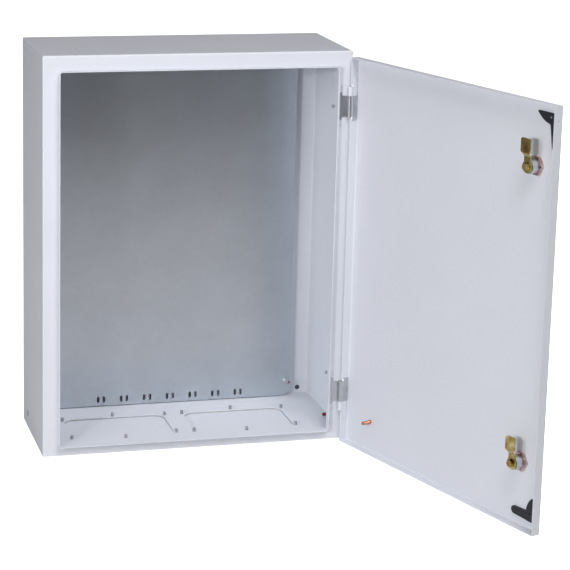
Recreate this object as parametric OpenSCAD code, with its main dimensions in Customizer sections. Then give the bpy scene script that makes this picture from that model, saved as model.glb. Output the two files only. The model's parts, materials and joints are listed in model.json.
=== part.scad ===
// Wall-mounted sheet-steel enclosure, shown with its door open.
// X runs across the front, Y from the front to the wall, Z up.
// The origin is the centre of the wall-fixing holes, on the back face.

/* [Cabinet body] */
// Width of the body
body_w = 500; // [420:10:700]
// Height of the body
body_h = 650; // [520:10:1000]
// Depth of the body without its door
body_d = 204; // [170:2:300]
// Sheet thickness of body and door
sheet = 1.2; // [1:0.1:1.8]
// Outer radius of the sheet's bends
bend_r = 2.6; // [2.2:0.2:4]

/* [Front frame] */
// Width of the frame beside the opening, from the body's side
stile_w = 26; // [24:0.5:32]
// Width of the frame above the opening
header_w = 25; // [20:1:40]
// Height of the floor's upper face above the body's lower edge
sill_h = 17; // [15:1:30]
// How far the opening's collar stands forward of the frame
collar_h = 11; // [8:0.5:13]
// Corner radius of the opening
opening_r = 4; // [2:0.5:10]

/* [Wall fixing] */
// Diameter of the wall-fixing holes
wall_hole_d = 8.5; // [6:0.5:10]
// Distance of the wall-fixing holes from the body's sides
wall_hole_side = 18; // [14:1:20]
// Distance of the wall-fixing holes from the body's lower and upper edges
wall_hole_end = 26; // [24:1:40]

/* [Mounting plate] */
// Thickness of the mounting plate
plate_t = 2; // [1.5:0.5:4]
// Gap between the plate's edges and the body's side walls
plate_side_gap = 36; // [30:1:60]
// Gap between the plate and the floor, and between the plate and the frame's header
plate_end_gap = 1.5; // [1:0.5:20]
// Length of the shoulder that holds the plate off the back panel
plate_standoff = 15; // [8:1:40]
// Cut across the plate's corners
plate_corner = 8; // [4:1:10]
// Distance of the plate's studs from the plate's side edges
stud_side = 7; // [6.5:0.5:20]
// Distance of the plate's studs from the plate's lower and upper edges
stud_end = 27; // [16:1:60]
// Thread diameter of the plate's studs
stud_d = 6; // [5:1:8]
// Number of slot pairs along each end of the plate
slot_pairs = 7; // [3:1:9]
// Spacing of the slot pairs
slot_pitch = 40; // [30:1:44]
// Spacing of the two slots in a pair
slot_gap = 10; // [8:0.5:14]
// Width of a slot
slot_w = 4.6; // [3:0.2:6]
// Length of a slot
slot_l = 10.5; // [6:0.5:14]
// Distance of the slots' centres from the plate's end edge
slot_end = 11; // [9:0.5:14]

/* [Gland plates] */
// Width of each floor opening
gland_w = 170; // [120:1:190]
// Depth of each floor opening
gland_d = 104; // [80:1:110]
// Corner radius of the floor openings
gland_r = 20; // [18:1:26]
// Distance of the first gland plate from the body's left side
gland_side_gap = 42.5; // [20:0.5:55]
// Gap between the two gland plates
gland_gap = 10; // [1:1:20]
// Distance of the gland plates behind the frame's front face
gland_front_gap = 12.5; // [10:0.5:20]
// Thickness of a gland plate
gland_plate_t = 1.5; // [1:0.5:3]
// Thickness of the gasket under the floor
gasket_t = 2; // [1:0.5:3]
// Rim of the gland plate beyond the opening
gland_rim = 12; // [10:0.5:13]
// How far the corner screws stand outside the opening's sides
gland_corner_out = 2; // [1:0.5:4]
// How far the corner screws stand inside the opening's front and back edges
gland_corner_in = 6; // [4:0.5:7]
// How far the middle screws stand outside the opening's front and back edges
gland_middle_out = 4.5; // [4:0.5:6]
// Thread diameter of the gland screws
gland_screw_d = 5; // [4:1:5]
// Length of the screw ends above the floor
gland_screw_proud = 6; // [3:1:12]

/* [Door] */
// Gap between the door's free edge and the body's left side
door_free_gap = 2; // [1:0.5:4]
// Gap between the door's upper edge and the body's upper edge
door_top_gap = 10; // [2:0.5:12]
// How far the door's lower edge hangs below the body's
door_drop = 3; // [0:0.5:6]
// Depth of the door's folded edge
door_d = 16; // [14:0.5:20]
// Distance of the hinge axis inside the body's right side
hinge_inset = 4; // [4:0.5:5]
// Gap between the closed door's edge and the frame
door_gap = 5; // [5:0.5:6]
// Opening angle of the door as drawn
door_open = 108; // [0:0.5:120]
// Diameter of the small hole in the door's free edge
edge_hole_d = 4; // [3:0.5:6]

/* [Hinges] */
// Height of the lower hinge's middle above the body's lower edge
lower_hinge_z = 83; // [70:1:95]
// Distance of the upper hinge's middle below the body's upper edge
upper_hinge_drop = 89.5; // [70:0.5:110]
// Outer radius of a hinge knuckle
knuckle_r = 4; // [3.5:0.1:4.2]
// Radius of the hinge pin
hinge_pin_r = 2; // [1.5:0.1:2.4]
// Height of the body leaf's knuckle
body_knuckle_h = 34; // [24:1:40]
// Height of the door leaf's knuckle
door_knuckle_h = 15; // [10:1:18]
// Thickness of the hinge leaves
leaf_t = 1.5; // [1:0.1:1.8]
// Width of the window in the door's edge that clears a hinge
hinge_window = 12.5; // [12:0.5:13]

/* [Locks] */
// Height of the lower lock above the door's lower edge
lower_lock_z = 100; // [80:1:140]
// Distance of the upper lock below the door's upper edge
upper_lock_drop = 95; // [80:1:140]
// Distance of the locks from the door's free edge
lock_inset = 49; // [46:0.5:54]
// Radius of the lock's threaded barrel
barrel_r = 11; // [10:0.5:12]
// Length of the barrel behind the door's outer face
barrel_l = 18.2; // [16:0.1:18.6]
// Radius of the lock's head
lock_head_r = 14; // [13:0.5:16]
// Width across the flats of the lock's nut
lock_nut_af = 27; // [26:0.5:30]
// Length of the cam from the lock's axis to its tip
cam_l = 42; // [38:0.5:42]
// Width of the cam's tip
cam_w = 20; // [16:0.5:22]
// Thickness of the cam
cam_t = 2.5; // [2:0.1:3]
// Step between the cam's root and its tip
cam_step = 4.5; // [4:0.1:5]

/* [Corner pads] */
// Distance of the pads from the door's edges
pad_edge = 14; // [8:0.5:20]
// Length of a pad's long leg, from the door's edge
pad_long = 63; // [58:0.5:80]
// Length of a pad's short leg, from the door's edge
pad_short = 50; // [44:0.5:70]
// Width of a pad's legs
pad_leg_w = 15.5; // [12:0.5:18]
// Thickness of a pad
pad_t = 3; // [2:0.5:4]

/* [Earth studs and fixings] */
// Length of the cabinet's earth stud
cabinet_stud_l = 12; // [8:1:20]
// Length of the door's earth stud
door_stud_l = 16; // [10:1:16]
// Thread diameter of the earth studs
earth_stud_d = 6; // [5:1:8]

/* [Hidden] */
$fn = 48;

// Colours
steel_white = [0.80, 0.81, 0.83];
galvanised = [0.55, 0.60, 0.62];
zinc = [0.62, 0.65, 0.68];
passivated = [0.55, 0.50, 0.28];
copper = [0.72, 0.42, 0.27];
red_lacquer = [0.45, 0.10, 0.14];
foam_grey = [0.62, 0.63, 0.64];
black_plastic = [0.10, 0.11, 0.13];
plug_grey = [0.66, 0.67, 0.68];

// Clearances
thread_clear = 0.05;   // radial, between a thread and its nut
hole_clear = 0.5;      // radial, round a screw or stud
running_clear = 0.05;  // radial, between a pin and its bore
part_gap = 0.3;        // between pieces that move past each other
overcut = 1;           // how far a cut passes beyond a face

// Body
inner_r = bend_r - sheet;
back_y = body_d - sheet;
floor_z = sill_h - sheet;
opening_w = body_w - 2 * stile_w;
opening_h = body_h - header_w - sill_h;

// Mounting plate
plate_w = body_w - 2 * sheet - 2 * plate_side_gap;
plate_z = sill_h + plate_end_gap;
plate_h = opening_h - 2 * plate_end_gap;
plate_y = back_y - plate_standoff - plate_t;
plate_left = (body_w - plate_w) / 2;
stud_shoulder_r = 0.85 * stud_d;
washer_t = 1.6;
washer_r = stud_d;
nut_af = 1.7 * stud_d;
nut_h = 0.8 * stud_d;
stud_tip = 3;

// Gland plates
gland_x = gland_side_gap + gland_rim + gland_w / 2;
gland_y = gland_front_gap + gland_rim + gland_d / 2;
gland_pitch = gland_w + 2 * gland_rim + gland_gap;
gland_corner_x = gland_w / 2 + gland_corner_out;
gland_corner_y = gland_d / 2 - gland_corner_in;
gland_middle_y = gland_d / 2 + gland_middle_out;
gland_head_h = 3.5;
gland_head_af = 1.6 * gland_screw_d;
gland_plate_z = floor_z - gasket_t - gland_plate_t;

// Door, in its own frame: the hinge axis is the Z axis, the door runs to -X, and its outer face is
// at -door_d
hinge_x = body_w - hinge_inset;
hinge_y = -door_gap;
door_z = -door_drop;
door_w = hinge_x - door_free_gap;
door_h = body_h - door_top_gap + door_drop;
skin_y = sheet - door_d;

// Hinges
upper_hinge_z = body_h - upper_hinge_drop;
hinge_slot_w = 3.5;
hinge_slot_l = 16;
hinge_slot_reach = 15.5;
hinge_slot_space = 1;
tab_l = 4;
tab_clear = 0.4;
hook_l = 5;
hinge_slot_mid = body_knuckle_h / 2 + hinge_slot_space + hinge_slot_l / 2;
hinge_slot_x = hinge_x - hinge_slot_reach + hinge_slot_w / 2;
pin_head_r = 1.5 * hinge_pin_r;
pin_head_h = 1.2;
window_margin = 2;
window_r = 4;
window_low = body_knuckle_h / 2 + pin_head_h + window_margin;
window_high = body_knuckle_h / 2 + part_gap + door_knuckle_h + window_margin;
door_leaf_reach = hinge_window - window_margin;
door_leaf_weld = 12;

// Locks, in the door's frame
lock_x = lock_inset - door_w;
upper_lock_z = door_h - upper_lock_drop;
barrel_end = barrel_l - door_d;
head_t = 2.5;
seal_t = 1;
seal_inset = 0.5;
nut_t = 5;
rotor_r = 6.5;
rotor_head_r = 8;
rotor_head_t = 3.5;
rotor_sink = 0.6;
cam_root_y = barrel_end + part_gap;
cam_tip_y = cam_root_y + cam_step;
cam_square = 8;
cam_root_r = 9.5;
cam_neck_w = 13;
cam_bend_start = 14;
cam_bend_end = 20;
cam_tip_r = 3;
cam_screw_r = 2.5;
cam_screw_l = 8;
cam_screw_af = 10;
cam_screw_h = 3.5;
cam_washer_r = 7;
cam_washer_t = 1;
key_r = 5.5;
key_depth = 6;
key_post_r = 2.4;
key_wing_w = 3;
key_wing_l = 9;

// Corner pads
pad_inner = pad_edge + pad_leg_w;
pad_slim = 1.75;
pad_point = 4;
pad_tip_w = 1;
pad_root_tilt = 8;
pad_hole_r = 1.5;
pad_hole_place = [pad_edge + 6, pad_edge + 12];

// Fixings
rivet_r = 2.1;
rivet_head_r = 4;
rivet_head_t = 1.2;
rivet_tail_r = 3;
rivet_tail_l = 4;
upper_rivet_drop = 16.5;
lower_rivet_rise = 6;
upper_rivet = [89, upper_hinge_z - upper_rivet_drop];
lower_rivet = [82, lower_hinge_z + lower_rivet_rise];
plug_place = [151, 24.5];
plug_r = 3.5;
plug_head_r = 5;
plug_head_t = 1.5;
plug_l = 5;
weld_flange_wide = 0.75;
weld_flange_t = 1;
cabinet_stud_place = [62, 21.5];
door_stud_place = [-65, 49];
edge_hole_drop = 23;
edge_hole_place = [-7, door_h - edge_hole_drop];

// ---------- shared shapes ----------

module rounded_rect(w, h, r) {
    // Rectangle from the origin, with all corners rounded
    translate([r, 0]) square([w - 2 * r, h]);
    translate([0, r]) square([w, h - 2 * r]);
    for (x = [r, w - r], y = [r, h - r]) translate([x, y]) circle(r = r);
}

module slot_shape(w, l) {
    // Slot centred on the origin, with its length along Y and rounded ends
    square([w, l - w], center = true);
    for (side = [-1, 1]) translate([0, side * (l - w) / 2]) circle(d = w);
}

module hex_prism(af, h) {
    cylinder(d = af / cos(30), h = h, $fn = 6);
}

module along_y() {
    // Turns a shape drawn upward so that it runs towards +Y
    rotate([-90, 0, 0]) children();
}

module xz_extrude(depth) {
    // Extrudes an outline drawn in X and Z towards +Y
    translate([0, depth, 0]) rotate([90, 0, 0]) linear_extrude(height = depth) children();
}

module yz_extrude(width) {
    // Extrudes an outline drawn in Y and Z towards +X
    rotate([90, 0, 90]) linear_extrude(height = width) children();
}

module in_cabinet() {
    // From the body's lower left front corner to the part's origin
    translate([-body_w / 2, -body_d, -body_h / 2]) children();
}

module on_door() {
    // From the hinge axis to the part's origin, with the door swung open
    in_cabinet() translate([hinge_x, hinge_y, door_z]) rotate([0, 0, door_open]) children();
}

// ---------- cabinet body ----------

module arch_outline(w, h, r) {
    // Rectangle from the origin with its two upper corners rounded
    square([w, h - r]);
    translate([r, 0]) square([w - 2 * r, h]);
    for (x = [r, w - r]) translate([x, h - r]) circle(r = r);
}

module body_block(inset, r, low) {
    // The body's outer form drawn in by inset, with rounded bends, standing at height low
    w = body_w - 2 * inset;
    d = body_d - 2 * inset;
    h = body_h - inset - low;
    translate([inset, inset, low]) intersection() {
        xz_extrude(d) arch_outline(w, h, r);
        yz_extrude(w) arch_outline(d, h, r);
        linear_extrude(height = h) rounded_rect(w, d, r);
    }
}

module side_hole(x, place, r) {
    // Hole through a side wall, at a place given in Y and Z
    translate([x - overcut, place[0], place[1]]) rotate([0, 90, 0]) cylinder(r = r, h = sheet + 2 * overcut);
}

module body_shell() {
    flat_w = body_w - 2 * bend_r;
    flat_h = body_h - bend_r + overcut;
    color(steel_white) in_cabinet() difference() {
        body_block(0, bend_r, 0);
        body_block(sheet, inner_r, -overcut);
        for (y = [-overcut, back_y - overcut])
            translate([bend_r, y, -overcut]) cube([flat_w, sheet + 2 * overcut, flat_h]);
        for (place = [upper_rivet, lower_rivet]) side_hole(body_w - sheet, place, rivet_r);
        side_hole(0, plug_place, plug_r);
    }
}

module opening_outline(grow) {
    translate([stile_w - grow, sill_h - grow])
        rounded_rect(opening_w + 2 * grow, opening_h + 2 * grow, opening_r + grow);
}

module hinge_slots(mid_z) {
    for (side = [-1, 1])
        translate([hinge_slot_x, mid_z + side * hinge_slot_mid]) slot_shape(hinge_slot_w, hinge_slot_l);
}

module front_frame() {
    color(steel_white) in_cabinet() {
        xz_extrude(sheet) difference() {
            translate([bend_r, 0]) square([body_w - 2 * bend_r, body_h - bend_r]);
            opening_outline(0);
            hinge_slots(upper_hinge_z);
            hinge_slots(lower_hinge_z);
        }
        translate([0, -collar_h, 0]) xz_extrude(collar_h) difference() {
            opening_outline(sheet);
            opening_outline(0);
        }
    }
}

module back_panel() {
    color(steel_white) in_cabinet() translate([0, back_y, 0]) xz_extrude(sheet) difference() {
        translate([bend_r, 0]) square([body_w - 2 * bend_r, body_h - bend_r]);
        for (x = [wall_hole_side, body_w - wall_hole_side], z = [wall_hole_end, body_h - wall_hole_end])
            translate([x, z]) circle(d = wall_hole_d);
    }
}

// ---------- floor and gland plates ----------

module at_gland(index) {
    translate([gland_x + index * gland_pitch, gland_y, 0]) children();
}

module gland_screw_places() {
    for (x = [-1, 1], y = [-1, 1]) translate([x * gland_corner_x, y * gland_corner_y, 0]) children();
    for (y = [-1, 1]) translate([0, y * gland_middle_y, 0]) children();
}

module gland_opening() {
    translate([-gland_w / 2, -gland_d / 2]) rounded_rect(gland_w, gland_d, gland_r);
}

module floor_panel() {
    color(steel_white) in_cabinet() translate([0, 0, floor_z]) linear_extrude(height = sheet) difference() {
        translate([sheet, sheet]) square([body_w - 2 * sheet, back_y - sheet]);
        for (index = [0, 1]) at_gland(index) {
            gland_opening();
            gland_screw_places() circle(r = gland_screw_d / 2 + thread_clear);
        }
    }
}

module gland_rim_outline() {
    w = gland_w + 2 * gland_rim;
    d = gland_d + 2 * gland_rim;
    difference() {
        translate([-w / 2, -d / 2]) rounded_rect(w, d, gland_r / 2);
        gland_screw_places() circle(r = gland_screw_d / 2 + hole_clear);
    }
}

module gland_plate(index) {
    color(steel_white) in_cabinet() at_gland(index) translate([0, 0, gland_plate_z])
        linear_extrude(height = gland_plate_t) gland_rim_outline();
}

module gland_gasket(index) {
    color(foam_grey) in_cabinet() at_gland(index) translate([0, 0, floor_z - gasket_t])
        linear_extrude(height = gasket_t) difference() {
            gland_rim_outline();
            gland_opening();
        }
}

module left_gland_plate() { gland_plate(0); }
module right_gland_plate() { gland_plate(1); }
module left_gland_gasket() { gland_gasket(0); }
module right_gland_gasket() { gland_gasket(1); }

module gland_screws() {
    // Hexagon screws from below, with their ends standing proud of the floor
    color(zinc) in_cabinet() for (index = [0, 1]) at_gland(index) gland_screw_places() {
        translate([0, 0, gland_plate_z - gland_head_h]) hex_prism(gland_head_af, gland_head_h);
        translate([0, 0, gland_plate_z])
            cylinder(d = gland_screw_d, h = sill_h + gland_screw_proud - gland_plate_z);
    }
}

// ---------- mounting plate ----------

module each_stud() {
    // At each of the four studs' places, in X and Y from the plate's lower left corner
    for (x = [stud_side, plate_w - stud_side], y = [stud_end, plate_h - stud_end])
        translate([x, y]) children();
}

module at_plate() {
    translate([plate_left, 0, plate_z]) children();
}

module at_studs(y) {
    // Places a shape drawn upward on each stud, running forward from y
    in_cabinet() at_plate() translate([0, y, 0]) rotate([90, 0, 0]) each_stud() children();
}

module plate_slots() {
    for (pair = [0 : slot_pairs - 1], side = [-1, 1], z = [slot_end, plate_h - slot_end])
        translate([plate_w / 2 + (pair - (slot_pairs - 1) / 2) * slot_pitch + side * slot_gap / 2, z])
            slot_shape(slot_w, slot_l);
}

module plate_outline() {
    c = plate_corner;
    polygon([
        [c, 0], [plate_w - c, 0], [plate_w, c], [plate_w, plate_h - c],
        [plate_w - c, plate_h], [c, plate_h], [0, plate_h - c], [0, c]
    ]);
}

module mounting_plate() {
    color(galvanised) in_cabinet() at_plate() translate([0, plate_y, 0]) xz_extrude(plate_t) difference() {
        plate_outline();
        plate_slots();
        each_stud() circle(r = stud_d / 2 + hole_clear);
    }
}

module plate_studs() {
    // Weld studs on the back panel, with a shoulder that the plate rests on
    color(zinc) at_studs(back_y) {
        cylinder(r = stud_shoulder_r, h = plate_standoff);
        cylinder(d = stud_d, h = plate_standoff + plate_t + washer_t + nut_h + stud_tip);
    }
}

module plate_washers() {
    color(zinc) at_studs(plate_y) difference() {
        cylinder(r = washer_r, h = washer_t);
        translate([0, 0, -overcut]) cylinder(r = stud_d / 2 + thread_clear, h = washer_t + 2 * overcut);
    }
}

module plate_nuts() {
    color(zinc) at_studs(plate_y - washer_t) difference() {
        hex_prism(nut_af, nut_h);
        translate([0, 0, -overcut]) cylinder(r = stud_d / 2 + thread_clear, h = nut_h + 2 * overcut);
    }
}

// ---------- studs and plugs on the side walls ----------

module earth_stud(length) {
    // Weld stud with its welding flange, drawn upward from the sheet
    cylinder(r = earth_stud_d / 2 + weld_flange_wide, h = weld_flange_t);
    cylinder(d = earth_stud_d, h = length);
}

module cabinet_earth_stud() {
    // Lacquered weld stud on the right wall
    color(red_lacquer) in_cabinet() translate([body_w - sheet, cabinet_stud_place[0], cabinet_stud_place[1]])
        rotate([0, -90, 0]) earth_stud(cabinet_stud_l);
}

module rivet() {
    // Blind rivet through the wall: drawn upward from the wall's outer face
    translate([0, 0, -rivet_head_t]) cylinder(r = rivet_head_r, h = rivet_head_t);
    cylinder(r = rivet_r, h = sheet);
    translate([0, 0, sheet]) cylinder(r = rivet_tail_r, h = rivet_tail_l);
}

module wall_rivets() {
    color(zinc) in_cabinet() for (place = [upper_rivet, lower_rivet])
        translate([body_w, place[0], place[1]]) rotate([0, -90, 0]) rivet();
}

module side_plug() {
    // Plastic plug that closes the small hole low in the left wall
    color(plug_grey) in_cabinet() translate([0, plug_place[0], plug_place[1]]) rotate([0, 90, 0]) {
        translate([0, 0, -plug_head_t]) cylinder(r = plug_head_r, h = plug_head_t);
        cylinder(r = plug_r, h = plug_l);
    }
}

// ---------- hinges ----------

// A hinge is drawn about its axis, with its middle at the origin. Side is 1 where the door's
// knuckle is above the body's, and -1 where it is below.

module at_body_hinge(mid_z) {
    in_cabinet() translate([hinge_x, hinge_y, mid_z]) children();
}

module at_door_hinge(mid_z) {
    on_door() translate([0, 0, mid_z - door_z]) children();
}

module body_leaf() {
    reach = hinge_x - hinge_slot_x + hinge_slot_w / 2 - tab_clear;
    tab_w = hinge_slot_w - 2 * tab_clear;
    tab_top = hinge_slot_mid - hinge_slot_l / 2 + tab_l;
    half = body_knuckle_h / 2;
    color(zinc) difference() {
        union() {
            translate([0, 0, -half]) cylinder(r = knuckle_r, h = body_knuckle_h);
            translate([-reach, door_gap - leaf_t, -half]) cube([reach, leaf_t, body_knuckle_h]);
            translate([-reach, door_gap - leaf_t, -tab_top]) cube([tab_w, leaf_t, 2 * tab_top]);
            for (low = [-tab_top, tab_top - leaf_t])
                translate([-reach, door_gap - leaf_t, low]) cube([tab_w, leaf_t + sheet + hook_l, leaf_t]);
        }
        translate([0, 0, -half - overcut]) cylinder(r = hinge_pin_r, h = body_knuckle_h + 2 * overcut);
    }
}

module hinge_pin(side) {
    half = body_knuckle_h / 2;
    color(zinc) mirror([0, 0, side > 0 ? 0 : 1]) {
        translate([0, 0, -half - pin_head_h]) cylinder(r = pin_head_r, h = pin_head_h);
        translate([0, 0, -half]) cylinder(r = hinge_pin_r, h = body_knuckle_h + part_gap + door_knuckle_h);
    }
}

module door_leaf(side) {
    // Knuckle with a strip that is welded inside the door's edge beyond the window
    low = body_knuckle_h / 2 + part_gap;
    strip_h = window_high - low + door_leaf_weld;
    color(steel_white) mirror([0, 0, side > 0 ? 0 : 1]) difference() {
        union() {
            translate([0, 0, low]) cylinder(r = knuckle_r, h = door_knuckle_h);
            translate([-sheet - leaf_t, -door_leaf_reach, low])
                cube([leaf_t, door_leaf_reach, door_knuckle_h]);
            translate([-sheet - leaf_t, -door_leaf_reach, low])
                cube([leaf_t, door_leaf_reach - knuckle_r, strip_h]);
        }
        translate([0, 0, low - overcut])
            cylinder(r = hinge_pin_r + running_clear, h = door_knuckle_h + 2 * overcut);
    }
}

module upper_hinge_body_leaf() { at_body_hinge(upper_hinge_z) body_leaf(); }
module lower_hinge_body_leaf() { at_body_hinge(lower_hinge_z) body_leaf(); }
module upper_hinge_pin() { at_body_hinge(upper_hinge_z) hinge_pin(1); }
module lower_hinge_pin() { at_body_hinge(lower_hinge_z) hinge_pin(-1); }
module upper_hinge_door_leaf() { at_door_hinge(upper_hinge_z) door_leaf(1); }
module lower_hinge_door_leaf() { at_door_hinge(lower_hinge_z) door_leaf(-1); }

// ---------- door ----------

module door_block(inset, r, depth) {
    // The door's outer form drawn in by inset: its face and four folded edges
    w = door_w - 2 * inset;
    h = door_h - 2 * inset;
    translate([inset - door_w, inset - door_d, inset]) intersection() {
        linear_extrude(height = h) face_edge_outline(w, depth, r);
        yz_extrude(w) side_edge_outline(depth, h, r);
    }
}

module face_edge_outline(w, d, r) {
    // Rectangle from the origin with its two front corners rounded
    translate([0, r]) square([w, d - r]);
    translate([r, 0]) square([w - 2 * r, d]);
    for (x = [r, w - r]) translate([x, r]) circle(r = r);
}

module side_edge_outline(d, h, r) {
    // Rectangle from the origin with the two corners at its left rounded
    translate([r, 0]) square([d - r, h]);
    translate([0, r]) square([d, h - 2 * r]);
    for (y = [r, h - r]) translate([r, y]) circle(r = r);
}

module window_outline(mid_z, side) {
    // Window in the hinge-side edge, in Y and Z, open towards the frame
    low = side > 0 ? -window_low : -window_high;
    translate([-hinge_window, mid_z - door_z + low])
        rounded_rect(hinge_window + window_r + overcut, window_low + window_high, window_r);
}

module door_panel() {
    color(steel_white) on_door() difference() {
        door_block(0, bend_r, door_d);
        door_block(sheet, inner_r, door_d + overcut);
        for (z = [lower_lock_z, upper_lock_z]) translate([lock_x, -door_d - overcut, z])
            along_y() cylinder(r = barrel_r + running_clear, h = sheet + 2 * overcut);
        translate([-sheet - overcut, 0, 0]) yz_extrude(sheet + 2 * overcut) {
            window_outline(upper_hinge_z, 1);
            window_outline(lower_hinge_z, -1);
        }
        translate([-door_w - overcut, edge_hole_place[0], edge_hole_place[1]])
            rotate([0, 90, 0]) cylinder(d = edge_hole_d, h = sheet + 2 * overcut);
    }
}

module door_earth_stud() {
    // Copper-plated weld stud on the door's inner face
    color(copper) on_door() translate([door_stud_place[0], skin_y, door_stud_place[1]])
        along_y() earth_stud(door_stud_l);
}

module pad_long_leg() {
    // Leg along X that narrows a little towards a round end
    middle = pad_edge + pad_leg_w / 2;
    end_r = pad_leg_w / 2 - pad_slim;
    end_x = pad_long - end_r;
    polygon([
        [pad_edge, pad_edge], [end_x, middle - end_r], [end_x, middle + end_r], [pad_edge, pad_inner]
    ]);
    translate([end_x, middle]) circle(r = end_r);
}

module pad_short_leg() {
    // Leg along Y whose inner side bends over in one arc to a narrow end near its outer side
    run = pad_short - pad_inner;
    drop = pad_leg_w - pad_point - pad_tip_w;
    chord = sqrt(run * run + drop * drop);
    tilt = atan(drop / run) - pad_root_tilt;
    arc_r = chord / (2 * sin(tilt));
    intersection() {
        polygon([
            [pad_edge, pad_edge], [pad_inner, pad_edge], [pad_inner, pad_short],
            [pad_edge + pad_point, pad_short], [pad_edge, pad_inner]
        ]);
        translate([pad_inner - arc_r * cos(pad_root_tilt), pad_inner - arc_r * sin(pad_root_tilt)])
            circle(r = arc_r, $fn = 120);
    }
}

module pad_outline() {
    difference() {
        union() {
            pad_long_leg();
            pad_short_leg();
        }
        translate(pad_hole_place) circle(r = pad_hole_r);
    }
}

module lower_corner_pad() {
    color(black_plastic) on_door() translate([-door_w, skin_y, 0]) xz_extrude(pad_t) pad_outline();
}

module upper_corner_pad() {
    color(black_plastic) on_door() translate([-door_w, skin_y, door_h]) rotate([0, 90, 0])
        xz_extrude(pad_t) pad_outline();
}

// ---------- locks ----------

// A lock is drawn along Y about its own axis, with Y as in the door's frame

module at_lock(z) {
    on_door() translate([lock_x, 0, z]) children();
}

module lock_seal() {
    color(black_plastic) translate([0, -door_d - seal_t, 0]) along_y() difference() {
        cylinder(r = lock_head_r - seal_inset, h = seal_t);
        translate([0, 0, -overcut]) cylinder(r = barrel_r + running_clear, h = seal_t + 2 * overcut);
    }
}

module lock_body() {
    // Round head and barrel, bored in two steps for the rotor
    front = -door_d - seal_t - head_t;
    color(zinc) translate([0, front, 0]) along_y() rotate_extrude() difference() {
        union() {
            square([lock_head_r, head_t]);
            square([barrel_r, barrel_end - front]);
        }
        translate([0, -overcut])
            square([rotor_head_r + running_clear, rotor_sink + rotor_head_t + part_gap + overcut]);
        translate([0, -overcut]) square([rotor_r + running_clear, barrel_end - front + 2 * overcut]);
    }
}

module lock_nut() {
    color(zinc) translate([0, skin_y, 0]) along_y() difference() {
        hex_prism(lock_nut_af, nut_t);
        translate([0, 0, -overcut]) cylinder(r = barrel_r + thread_clear, h = nut_t + 2 * overcut);
    }
}

module lock_rotor() {
    // Insert with a double-bit key recess, a square for the cam and a tapped end
    front = -door_d - seal_t - head_t + rotor_sink;
    color(zinc) translate([0, front, 0]) along_y() difference() {
        union() {
            cylinder(r = rotor_head_r, h = rotor_head_t);
            cylinder(r = rotor_r, h = cam_root_y - front);
            translate([-cam_square / 2, -cam_square / 2, 0])
                cube([cam_square, cam_square, cam_root_y + cam_t - front]);
        }
        difference() {
            translate([0, 0, -overcut]) cylinder(r = key_r, h = key_depth + overcut);
            cylinder(r = key_post_r, h = key_depth);
            translate([-key_wing_l / 2, -key_wing_w / 2, 0]) cube([key_wing_l, key_wing_w, key_depth]);
        }
        translate([0, 0, cam_root_y + cam_t - front - cam_screw_l])
            cylinder(r = cam_screw_r + thread_clear, h = cam_screw_l + overcut);
    }
}

module cam() {
    // Cranked strip: a root on the rotor's square, a slope, and a tip that goes behind the frame
    half_neck = cam_neck_w / 2;
    bend_l = cam_bend_end - cam_bend_start;
    color(passivated) difference() {
        union() {
            translate([0, cam_root_y, 0]) along_y() cylinder(r = cam_root_r, h = cam_t);
            translate([-half_neck, cam_root_y, 0]) cube([cam_neck_w, cam_t, cam_bend_start]);
            translate([-half_neck, 0, 0]) yz_extrude(cam_neck_w) polygon([
                [cam_root_y, cam_bend_start], [cam_root_y + cam_t, cam_bend_start],
                [cam_tip_y + cam_t, cam_bend_end], [cam_tip_y, cam_bend_end]
            ]);
            translate([-cam_w / 2, cam_tip_y, cam_bend_end]) xz_extrude(cam_t)
                rounded_rect(cam_w, cam_l - cam_bend_end, cam_tip_r);
        }
        translate([-cam_square / 2 - running_clear, cam_root_y - overcut, -cam_square / 2 - running_clear])
            cube([cam_square + 2 * running_clear, cam_t + 2 * overcut, cam_square + 2 * running_clear]);
    }
}

module cam_screw() {
    color(zinc) translate([0, cam_root_y + cam_t, 0]) {
        along_y() cylinder(r = cam_washer_r, h = cam_washer_t);
        translate([0, cam_washer_t, 0]) along_y() hex_prism(cam_screw_af, cam_screw_h);
        translate([0, overcut - cam_screw_l, 0]) along_y() cylinder(r = cam_screw_r, h = cam_screw_l);
    }
}

module upper_lock_seal() { at_lock(upper_lock_z) lock_seal(); }
module lower_lock_seal() { at_lock(lower_lock_z) lock_seal(); }
module upper_lock_body() { at_lock(upper_lock_z) lock_body(); }
module lower_lock_body() { at_lock(lower_lock_z) lock_body(); }
module upper_lock_nut() { at_lock(upper_lock_z) lock_nut(); }
module lower_lock_nut() { at_lock(lower_lock_z) lock_nut(); }
module upper_lock_rotor() { at_lock(upper_lock_z) lock_rotor(); }
module lower_lock_rotor() { at_lock(lower_lock_z) lock_rotor(); }
module upper_cam() { at_lock(upper_lock_z) cam(); }
module lower_cam() { at_lock(lower_lock_z) cam(); }
module upper_cam_screw() { at_lock(upper_lock_z) cam_screw(); }
module lower_cam_screw() { at_lock(lower_lock_z) cam_screw(); }

body_shell();
front_frame();
back_panel();
floor_panel();
mounting_plate();
plate_studs();
plate_washers();
plate_nuts();
left_gland_plate();
right_gland_plate();
left_gland_gasket();
right_gland_gasket();
gland_screws();
cabinet_earth_stud();
wall_rivets();
side_plug();
upper_hinge_body_leaf();
lower_hinge_body_leaf();
upper_hinge_pin();
lower_hinge_pin();
door_panel();
upper_hinge_door_leaf();
lower_hinge_door_leaf();
upper_corner_pad();
lower_corner_pad();
door_earth_stud();
upper_lock_seal();
lower_lock_seal();
upper_lock_body();
lower_lock_body();
upper_lock_nut();
lower_lock_nut();
upper_lock_rotor();
lower_lock_rotor();
upper_cam();
lower_cam();
upper_cam_screw();
lower_cam_screw();
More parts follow.
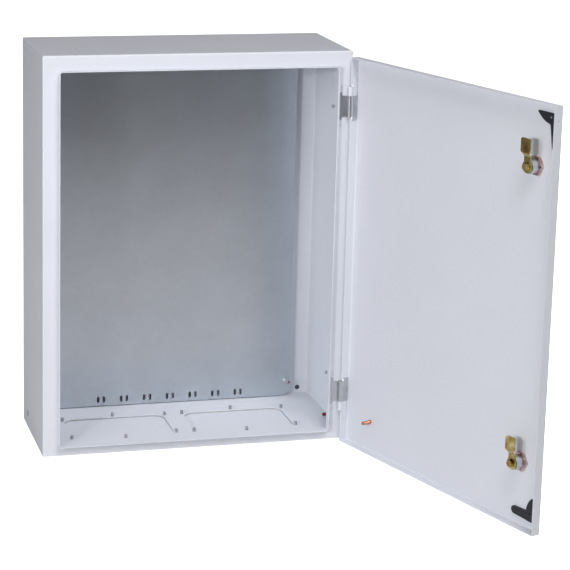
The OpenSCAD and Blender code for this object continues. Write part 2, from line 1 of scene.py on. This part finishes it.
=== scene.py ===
"""Looks of the steel wall enclosure: finishes, small parts, camera and studio light.

Everything is in metres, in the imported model's frame: X across the front, Y from the front to the
wall, Z up, with the origin in the middle of the back face.
"""

import json
import math

import bmesh
import bpy
from mathutils import Matrix, Vector, noise


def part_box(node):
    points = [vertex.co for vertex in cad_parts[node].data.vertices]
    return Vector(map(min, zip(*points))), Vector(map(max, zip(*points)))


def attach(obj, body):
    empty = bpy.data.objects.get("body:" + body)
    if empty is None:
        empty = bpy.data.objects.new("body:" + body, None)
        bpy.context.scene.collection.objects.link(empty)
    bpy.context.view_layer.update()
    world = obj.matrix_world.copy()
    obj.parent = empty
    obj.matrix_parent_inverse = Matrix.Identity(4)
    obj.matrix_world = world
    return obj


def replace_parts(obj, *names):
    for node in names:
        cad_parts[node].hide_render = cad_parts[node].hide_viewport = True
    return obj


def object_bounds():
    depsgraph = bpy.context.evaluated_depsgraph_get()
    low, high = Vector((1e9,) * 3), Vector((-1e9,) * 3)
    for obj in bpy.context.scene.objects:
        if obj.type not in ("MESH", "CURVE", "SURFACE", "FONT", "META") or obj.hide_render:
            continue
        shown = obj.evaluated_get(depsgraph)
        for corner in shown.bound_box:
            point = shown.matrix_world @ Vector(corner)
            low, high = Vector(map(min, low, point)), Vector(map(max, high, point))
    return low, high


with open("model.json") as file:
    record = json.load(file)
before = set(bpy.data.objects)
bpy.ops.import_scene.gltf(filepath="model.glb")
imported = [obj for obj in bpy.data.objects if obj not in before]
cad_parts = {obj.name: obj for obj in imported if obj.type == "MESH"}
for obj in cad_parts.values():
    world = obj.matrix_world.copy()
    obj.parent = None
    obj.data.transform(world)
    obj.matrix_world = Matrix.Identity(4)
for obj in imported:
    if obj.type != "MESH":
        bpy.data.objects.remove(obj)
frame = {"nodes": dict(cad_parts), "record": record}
cad_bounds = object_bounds()

MM = 0.001
nodes = frame["nodes"]

# ---------- materials ----------


class Shader:
    """A Principled material with short calls for the nodes that the finishes share."""

    def __init__(self, name, colour, roughness, metallic=0.0, specular=0.5):
        self.material = bpy.data.materials.new(name)
        self.material.use_nodes = True
        self.tree = self.material.node_tree
        self.bsdf = self.tree.nodes["Principled BSDF"]
        self.bsdf.inputs["Base Color"].default_value = (*colour, 1)
        self.bsdf.inputs["Roughness"].default_value = roughness
        self.bsdf.inputs["Metallic"].default_value = metallic
        self.bsdf.inputs["Specular IOR Level"].default_value = specular
        self.place = self.add("ShaderNodeTexCoord").outputs["Object"]

    def add(self, kind, **values):
        node = self.tree.nodes.new(kind)
        for key, value in values.items():
            setattr(node, key, value)
        return node

    def link(self, output, target):
        self.tree.links.new(output, target)

    def noise(self, size, detail=3.0, stretch=(1, 1, 1)):
        """Noise whose features are about size metres across."""
        mapping = self.add("ShaderNodeMapping")
        mapping.inputs["Scale"].default_value = [s / size for s in stretch]
        self.link(self.place, mapping.inputs["Vector"])
        node = self.add("ShaderNodeTexNoise")
        node.inputs["Scale"].default_value = 1
        node.inputs["Detail"].default_value = detail
        self.link(mapping.outputs["Vector"], node.inputs["Vector"])
        return node.outputs["Fac"]

    def cells(self, size):
        """One random value for each cell of about size metres."""
        node = self.add("ShaderNodeTexVoronoi")
        node.inputs["Scale"].default_value = 1 / size
        self.link(self.place, node.inputs["Vector"])
        split = self.add("ShaderNodeSeparateColor")
        self.link(node.outputs["Color"], split.inputs["Color"])
        return split.outputs[0]

    def spread(self, factor, low, high):
        """Maps a 0 to 1 factor to low to high."""
        node = self.add("ShaderNodeMapRange")
        node.inputs["From Min"].default_value = 0.3
        node.inputs["From Max"].default_value = 0.7
        node.inputs["To Min"].default_value = low
        node.inputs["To Max"].default_value = high
        self.link(factor, node.inputs["Value"])
        return node.outputs["Result"]

    def tint(self, factor, colours):
        """Drives the base colour by a factor through evenly spaced colours."""
        ramp = self.add("ShaderNodeValToRGB")
        elements = ramp.color_ramp.elements
        while len(elements) < len(colours):
            elements.new(0.5)
        for index, colour in enumerate(colours):
            elements[index].position = 0.3 + 0.4 * index / (len(colours) - 1)
            elements[index].color = (*colour, 1)
        self.link(factor, ramp.inputs["Fac"])
        self.link(ramp.outputs["Color"], self.bsdf.inputs["Base Color"])

    def rough(self, factor, low, high):
        self.link(self.spread(factor, low, high), self.bsdf.inputs["Roughness"])

    def bump(self, factor, depth, strength=1.0):
        node = self.add("ShaderNodeBump")
        node.inputs["Distance"].default_value = depth
        node.inputs["Strength"].default_value = strength
        self.link(factor, node.inputs["Height"])
        self.link(node.outputs["Normal"], self.bsdf.inputs["Normal"])


def shade(colour, factor):
    return tuple(min(1.0, c * factor) for c in colour)


def powder_coat():
    """Light grey powder coat: fine orange peel, a faint drift in tone."""
    colour = (0.665, 0.705, 0.75)
    shader = Shader("powder_coat", colour, 0.42, specular=0.4)
    shader.tint(shader.noise(0.18), [shade(colour, 0.985), shade(colour, 1.015)])
    shader.rough(shader.noise(0.05), 0.38, 0.46)
    shader.bump(shader.noise(0.0012, detail=1), 0.00003, 0.6)
    return shader.material


def galvanised():
    """Galvanised sheet: smooth and satin, with a soft cloudy drift and a hint of spangle."""
    colour = (0.61, 0.655, 0.695)
    shader = Shader("galvanised", colour, 0.34, metallic=1.0)
    mix = shader.add("ShaderNodeMix", data_type="FLOAT")
    mix.inputs["Factor"].default_value = 0.85
    shader.link(shader.cells(0.008), mix.inputs["A"])
    shader.link(shader.noise(0.06, detail=4), mix.inputs["B"])
    shader.tint(mix.outputs["Result"], [shade(colour, 0.96), shade(colour, 1.04)])
    shader.rough(shader.noise(0.03), 0.34, 0.36)
    return shader.material


def zinc():
    """Bright zinc plating with a faint handling haze."""
    shader = Shader("zinc", (0.60, 0.63, 0.66), 0.3, metallic=1.0)
    shader.tint(shader.noise(0.012), [(0.55, 0.58, 0.61), (0.65, 0.68, 0.70)])
    shader.rough(shader.noise(0.012), 0.27, 0.34)
    shader.bump(shader.noise(0.004, detail=1), 0.00002, 0.15)
    return shader.material


def dull_zinc():
    """Darker, duller plating on the screw ends above the floor."""
    shader = Shader("dull_zinc", (0.42, 0.43, 0.45), 0.45, metallic=1.0)
    shader.tint(shader.noise(0.004), [(0.34, 0.35, 0.37), (0.5, 0.51, 0.53)])
    shader.rough(shader.noise(0.003), 0.38, 0.55)
    return shader.material


def passivated():
    """Yellow-passivated zinc, with its drift from straw to olive and brown."""
    shader = Shader("passivated", (0.5, 0.42, 0.16), 0.2, metallic=1.0)
    browns = [(0.34, 0.19, 0.07), (0.52, 0.42, 0.14), (0.82, 0.74, 0.40)]
    shader.tint(shader.noise(0.016, detail=2), browns)
    shader.rough(shader.noise(0.004), 0.14, 0.24)
    shader.bump(shader.noise(0.001, detail=1), 0.00002, 0.3)
    return shader.material


def nut_brass():
    """Machined nut with a slightly pink cast."""
    shader = Shader("nut_brass", (0.66, 0.46, 0.44), 0.28, metallic=1.0)
    shader.tint(shader.noise(0.008), [(0.44, 0.28, 0.28), (0.74, 0.56, 0.53)])
    shader.rough(shader.noise(0.003), 0.2, 0.34)
    shader.bump(shader.noise(0.0006, detail=1), 0.00002, 0.3)
    return shader.material


def copper():
    """Copper-plated weld stud, a little dulled."""
    shader = Shader("copper", (0.70, 0.36, 0.22), 0.35, metallic=1.0)
    shader.tint(shader.noise(0.005), [(0.48, 0.20, 0.13), (0.78, 0.42, 0.27)])
    shader.rough(shader.noise(0.002), 0.28, 0.45)
    shader.bump(shader.noise(0.0006, detail=1), 0.00002, 0.3)
    return shader.material


def lacquer():
    """Dark red screw lacquer over a stud."""
    colour = (0.19, 0.012, 0.022)
    shader = Shader("lacquer", colour, 0.35, specular=0.5)
    shader.tint(shader.noise(0.003), [shade(colour, 0.75), shade(colour, 1.3)])
    shader.rough(shader.noise(0.002), 0.28, 0.42)
    return shader.material


def moulded(name, colour, roughness, grain):
    """Moulded rubber or plastic with a fine grain."""
    shader = Shader(name, colour, roughness, specular=0.35)
    shader.tint(shader.noise(0.01), [shade(colour, 0.9), shade(colour, 1.12)])
    shader.rough(shader.noise(0.006), roughness - 0.05, roughness + 0.07)
    shader.bump(shader.noise(grain, detail=2), 0.00005, 0.4)
    return shader.material


finishes = {
    "painted_steel": powder_coat(),
    "galvanised_steel": galvanised(),
    "zinc_plate": zinc(),
    "dull_zinc": dull_zinc(),
    "passivated_steel": passivated(),
    "nut_brass": nut_brass(),
    "copper_plate": copper(),
    "red_lacquer": lacquer(),
    "gasket_foam": moulded("gasket_foam", (0.36, 0.365, 0.37), 0.85, 0.0012),
    "black_rubber": moulded("black_rubber", (0.016, 0.018, 0.026), 0.5, 0.0008),
    "grey_plastic": moulded("grey_plastic", (0.42, 0.43, 0.44), 0.5, 0.0008),
}

slots = {part["node"]: part["material_slot"] for part in frame["record"]["subparts"]}


def dress(piece, slot):
    """Gives a piece the finish of a record slot."""
    piece.data.materials.clear()
    piece.data.materials.append(finishes[slot])


for name, node in nodes.items():
    dress(node, slots[name])
dress(nodes["gland_screws"], "dull_zinc")
for name in ("upper_cam_screw", "lower_cam_screw"):
    dress(nodes[name], "passivated_steel")

# ---------- places ----------

# All in millimetres. The door's own frame has its hinge axis as Z, the door runs to -X from it, its
# outer face is at -DOOR_D, and Z is 0 at its lower edge.
BODY_H = 650
DOOR_W, DOOR_H, DOOR_D = 494, 643, 16
DOOR_SHEET = 1.2
DOOR_DROP = 3
DOOR_SWING = math.radians(108)
HINGE_AXIS = (246, -209)
DOOR = (
    Matrix.Translation(MM * Vector((*HINGE_AXIS, -BODY_H / 2 - DOOR_DROP)))
    @ Matrix.Rotation(DOOR_SWING, 4, "Z")
)
SKIN_Y = DOOR_SHEET - DOOR_D
CABINET = Matrix.Identity(4)
WALL_HOLE_X, WALL_HOLE_Z = 232, 299
# Each hinge's middle above the door's lower edge, and which way up it is.
HINGES = {"upper": (BODY_H - 89.5 + DOOR_DROP, 1), "lower": (83 + DOOR_DROP, -1)}


def axes(place, at, x, y):
    """Matrix of a place with its origin moved to at, in mm, and its X and Y axes along x and y."""
    x, y = Vector(x), Vector(y)
    turn = Matrix((x, y, x.cross(y))).transposed().to_4x4()
    return place @ Matrix.Translation(MM * Vector(at)) @ turn


# ---------- mesh makers ----------


def link_object(name, data):
    """Adds an object with this data to the scene."""
    item = bpy.data.objects.new(name, data)
    bpy.context.collection.objects.link(item)
    return item


def mesh_object(name, bm, place):
    """Turns a mesh in millimetres into an object at a place."""
    bmesh.ops.recalc_face_normals(bm, faces=bm.faces)
    bmesh.ops.transform(bm, matrix=place @ Matrix.Scale(MM, 4), verts=bm.verts)
    mesh = bpy.data.meshes.new(name)
    bm.to_mesh(mesh)
    bm.free()
    return link_object(name, mesh)


def finish_mesh(name, bm, place, body, slot):
    """Turns a mesh in millimetres into a piece that rides on a body."""
    piece = mesh_object(name, bm, place)
    dress(piece, slot)
    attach(piece, body)
    return piece


def add_prism(bm, outline, low, high, bevel):
    """Adds an outline raised from low to high, with its rims bevelled."""
    face = bm.faces.new([bm.verts.new((x, y, low)) for x, y in outline])
    raised = bmesh.ops.extrude_face_region(bm, geom=[face])["geom"]
    top = [item for item in raised if isinstance(item, bmesh.types.BMVert)]
    bmesh.ops.translate(bm, verts=top, vec=(0, 0, high - low))
    # A dict keeps each rim once, in a fixed order.
    rims = dict.fromkeys(
        edge for vert in top for edge in vert.link_edges if edge.other_vert(vert) in top
    )
    bmesh.ops.bevel(bm, geom=list(rims), offset=bevel, segments=2, affect="EDGES", profile=0.5)


def arc(centre, radius, start, stop, steps):
    """Points on an arc, with its angles in degrees."""
    points = []
    for index in range(steps + 1):
        angle = math.radians(start + (stop - start) * index / steps)
        points.append((centre[0] + radius * math.cos(angle), centre[1] + radius * math.sin(angle)))
    return points


def circle(centre, radius):
    """Points round a circle, the first one not repeated."""
    return arc(centre, radius, 0, 345, 23)


def spline(p, q, r, s, t):
    """Value between q and r at t of a smooth run through p, q, r and s."""
    linear, square, cube = r - p, 2 * p - 5 * q + 4 * r - s, 3 * q - p - 3 * r + s
    return 0.5 * (2 * q + linear * t + square * t**2 + cube * t**3)


def curve(points, steps):
    """Smooth run through points, each span in a number of steps."""
    ends = [points[0], *points, points[-1]]
    run = []
    for a, b, c, d in zip(ends, ends[1:], ends[2:], ends[3:]):
        for index in range(steps):
            t = index / steps
            run.append(tuple(spline(*values, t) for values in zip(a, b, c, d)))
    return run + [points[-1]]


def threaded_stud(name, radius, length, pitch, flange, place, body, slot):
    """Welded stud along Z with a helical thread, a chamfered end and a weld flange at its foot."""
    bm = bmesh.new()
    around, along = 24, 6
    depth = 0.6 * pitch
    flange_r, flange_t = flange
    rows = [(flange_r, 0, 0), (flange_r, flange_t, 0), (radius - depth, flange_t, 0)]
    count = round((length - flange_t - pitch) / pitch * along)
    for index in range(count + 1):
        z = flange_t + pitch / 2 + index * pitch / along
        rows.append((radius - depth, z, min(1, index / along, (count - index) / along)))
    rows.append((radius - depth, length, 0))
    rings = []
    for base, z, share in rows:
        ring = []
        for step in range(around):
            phase = (z / pitch - step / around) % 1
            r = base + share * depth * (1 - abs(2 * phase - 1))
            angle = 2 * math.pi * step / around
            ring.append(bm.verts.new((r * math.cos(angle), r * math.sin(angle), z)))
        rings.append(ring)
    for low, high in zip(rings, rings[1:]):
        for step in range(around):
            after = (step + 1) % around
            bm.faces.new((low[step], low[after], high[after], high[step]))
    bm.faces.new(rings[0])
    bm.faces.new(rings[-1])
    return finish_mesh(name, bm, place, body, slot)


# ---------- small parts ----------


PAD_T = 3
PAD_PLACE = axes(DOOR, (-DOOR_W, SKIN_Y + PAD_T, DOOR_H), (0, 0, -1), (1, 0, 0))


def make_upper_pad():
    """Pad in the door's upper corner: a pointed leg along the top and a leg that tapers downwards.

    Its outline has X down and Y towards the hinge, from the door's corner.
    """
    edge = 14
    inner = [
        (65, 15.2), (64.4, 16.6), (47, 19.4), (33, 21.8), (30.5, 24.5),
        (28.5, 31.5), (24, 40), (18, 47.5), (16, 49.8),
    ]
    outline = [(edge, edge), (63.5, edge), *curve(inner, 4), (edge, 50)]
    bm = bmesh.new()
    add_prism(bm, outline, PAD_T, 0, 0.5)
    return finish_mesh("upper_pad_shaped", bm, PAD_PLACE, "door", "black_rubber")


def make_pad_rivet():
    """Small bright rivet at the corner of the upper pad."""
    bm = bmesh.new()
    add_prism(bm, circle((20.4, 20.6), 1.5), 0.5, -0.7, 0.4)
    finish_mesh("upper_pad_rivet", bm, PAD_PLACE, "door", "zinc_plate")


def make_hinge_cover(side):
    """Strip inside the door that closes the window beside a hinge, with two pressed ribs."""
    mid, up = HINGES[side]
    deep, near = -13.2, -4.3
    below, above, corner = -23.2, 17.0, 3
    rib_w, rib_top, rib_foot = 1, above - 2, below + 5
    foot = arc((deep + corner, below + corner), corner, 180, 270, 6)
    outline = [(near, above), (deep, above), *foot, (near, below)]
    bm = bmesh.new()
    add_prism(bm, outline, -DOOR_SHEET - 0.05, -DOOR_SHEET - 1.2, 0.3)
    for y in (-11, -8):
        rib = [(y, rib_top), (y, rib_foot), (y + rib_w, rib_foot), (y + rib_w, rib_top)]
        add_prism(bm, rib, -DOOR_SHEET - 1.0, -DOOR_SHEET - 1.8, 0.3)
    if up < 0:
        bmesh.ops.transform(bm, matrix=Matrix.Scale(-1, 4, (0, 1, 0)), verts=bm.verts)
    place = axes(DOOR, (0, 0, mid), (0, 1, 0), (0, 0, 1))
    finish_mesh(side + "_hinge_cover", bm, place, "door", "zinc_plate")


def make_seal_mark():
    """Dab of red torque seal over one corner of the plate's lower right nut."""
    low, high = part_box("plate_nuts")
    right, front, bottom = high[0] / MM, low[1] / MM, low[2] / MM
    at = Vector((right - 2.9, front - 0.6, bottom + 3.2))
    half_x, half_y, half_z = 3.4, 1.3, 2.3
    bm = bmesh.new()
    bmesh.ops.create_icosphere(bm, subdivisions=3, radius=1)
    for vert in bm.verts:
        swell = 1 + 0.25 * noise.noise(2.2 * vert.co)
        vert.co = Vector((half_x * vert.co.x, half_y * vert.co.y, half_z * vert.co.z)) * swell
    finish_mesh("seal_mark", bm, Matrix.Translation(MM * at), "cabinet", "red_lacquer")


def make_hole_shades():
    """Dark discs painted as shade in the wall-fixing holes, so that the backdrop doesn't shine
    through them.
    """
    bm = bmesh.new()
    for x in (-WALL_HOLE_X, WALL_HOLE_X):
        for z in (-WALL_HOLE_Z, WALL_HOLE_Z):
            add_prism(bm, circle((x, z), 4.2), 0.4, 0.8, 0.05)
    shades = mesh_object("hole_shades", bm, axes(CABINET, (0, 0, 0), (1, 0, 0), (0, 0, 1)))
    # Painted shade: a near-black matte finish standing in for the darkness inside the holes, not a
    # real part.
    painted_hole_shade = moulded("hole_shade", (0.05, 0.06, 0.065), 0.8, 0.001)
    shades.data.materials.append(painted_hole_shade)


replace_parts(make_upper_pad(), "upper_corner_pad")
make_pad_rivet()
make_hinge_cover("upper")
make_hinge_cover("lower")
make_seal_mark()
make_hole_shades()

door_stud_length, cabinet_stud_length = 16, 12
stud_r, stud_pitch, stud_flange = 3, 1, (3.75, 1)
door_stud = threaded_stud(
    "door_stud_threaded", stud_r, door_stud_length, stud_pitch, stud_flange,
    axes(DOOR, (-65, SKIN_Y, 49), (0, 0, 1), (1, 0, 0)), "door", "copper_plate",
)
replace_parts(door_stud, "door_earth_stud")
stud_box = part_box("cabinet_earth_stud")
stud_middle = [(low + high) / 2 / MM for low, high in zip(*stud_box)]
stud_root = (stud_box[1][0] / MM, stud_middle[1], stud_middle[2])
cabinet_stud = threaded_stud(
    "cabinet_stud_threaded", stud_r, cabinet_stud_length, stud_pitch, stud_flange,
    axes(CABINET, stud_root, (0, 1, 0), (0, 0, -1)), "cabinet", "red_lacquer",
)
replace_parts(cabinet_stud, "cabinet_earth_stud")

# ---------- camera, floor and light ----------

SENSOR = 36
FAR_CLIP = 30


def make_camera():
    """Camera at the photograph's angle, with the lens shift that its framing needs."""
    data = bpy.data.cameras.new("camera")
    data.sensor_width = SENSOR
    data.lens = CAMERA_FOCAL * SENSOR
    data.shift_x, data.shift_y = CAMERA_SHIFT
    data.clip_end = FAR_CLIP
    camera = link_object("camera", data)
    turn = Matrix.Rotation(-CAMERA_AZIMUTH, 3, "Z")
    turn = turn @ Matrix.Rotation(math.pi / 2 - CAMERA_ELEVATION, 3, "X")
    turn = turn @ Matrix.Rotation(CAMERA_ROLL, 3, "Z")
    camera.matrix_world = Matrix.Translation(CAMERA_AT) @ turn.to_4x4()
    bpy.context.scene.camera = camera


CAMERA_AT = (-0.7708, -3.4069, 0.8233)
CAMERA_AZIMUTH = math.radians(14.872)
CAMERA_ELEVATION = math.radians(13.289)
CAMERA_ROLL = math.radians(1.267)
CAMERA_FOCAL = 3.7188
CAMERA_SHIFT = (0.068, -0.10)
make_camera()


def add_light(name, azimuth, elevation, width, power):
    """Area light aimed at the object. Azimuth 0 is straight in front, positive to the right."""
    data = bpy.data.lights.new(name, "AREA")
    data.shape = "RECTANGLE"
    data.size = data.size_y = width
    data.energy = power
    data.color = LIGHT_COLOUR
    light = link_object(name, data)
    a, e = math.radians(azimuth), math.radians(elevation)
    away = Vector((math.sin(a) * math.cos(e), -math.cos(a) * math.cos(e), math.sin(e)))
    light.location = LIGHT_TARGET + LIGHT_DISTANCE * away
    light.rotation_euler = away.to_track_quat("Z", "Y").to_euler()


def make_floor():
    """Pale floor just below the door's lower edge. Its glow shows to the camera only."""
    low = cad_bounds[0][2] - FLOOR_GAP
    mesh = bpy.data.meshes.new("floor")
    left, right, front, rear = FLOOR_EDGES
    corners = [(left, front, low), (right, front, low), (right, rear, low), (left, rear, low)]
    mesh.from_pydata(corners, [], [(0, 1, 2, 3)])
    floor = link_object("floor", mesh)
    shader = Shader("floor", (0.67, 0.67, 0.67), 0.9, specular=0.0)
    shader.tint(shader.noise(0.5), [(0.66, 0.66, 0.66), (0.68, 0.68, 0.68)])
    shader.bsdf.inputs["Emission Color"].default_value = (1, 1, 1, 1)
    shader.link(camera_only(shader.tree, FLOOR_GLOW, 0.0), shader.bsdf.inputs["Emission Strength"])
    mesh.materials.append(shader.material)


def camera_only(tree, seen, other):
    """A value that is seen for camera rays and other for all the rest."""
    path = tree.nodes.new("ShaderNodeLightPath")
    node = tree.nodes.new("ShaderNodeMapRange")
    node.inputs["To Min"].default_value = other
    node.inputs["To Max"].default_value = seen
    tree.links.new(path.outputs["Is Camera Ray"], node.inputs["Value"])
    return node.outputs["Result"]


def make_world():
    """White surround for the camera that gives the object only a little light."""
    world = bpy.data.worlds.new("world")
    world.use_nodes = True
    sky = world.node_tree.nodes["Background"]
    sky.inputs["Color"].default_value = (1, 1, 1, 1)
    world.node_tree.links.new(camera_only(world.node_tree, 1.0, AMBIENT), sky.inputs["Strength"])
    bpy.context.scene.world = world
    bpy.context.scene.view_settings.view_transform = "Standard"


LIGHT_TARGET = Vector((0.05, -0.25, 0.0))
LIGHT_DISTANCE = 3.2
LIGHT_COLOUR = (1.0, 0.96, 0.985)
FLOOR_GAP = 0.0005
FLOOR_EDGES = (-4, 4, -1.6, 6)
FLOOR_GLOW = 1.2
AMBIENT = 0.04
make_floor()
for name, azimuth, elevation, width, power in (
    ("left_softbox", -58, 15, 1.0, 29),
    ("key_softbox", -40, 13, 0.35, 34),
    ("right_softbox", 10, 50, 1.5, 72),
    ("rear_softbox", 125, 20, 1.5, 40),
):
    add_light(name, azimuth, elevation, width, power)
make_world()
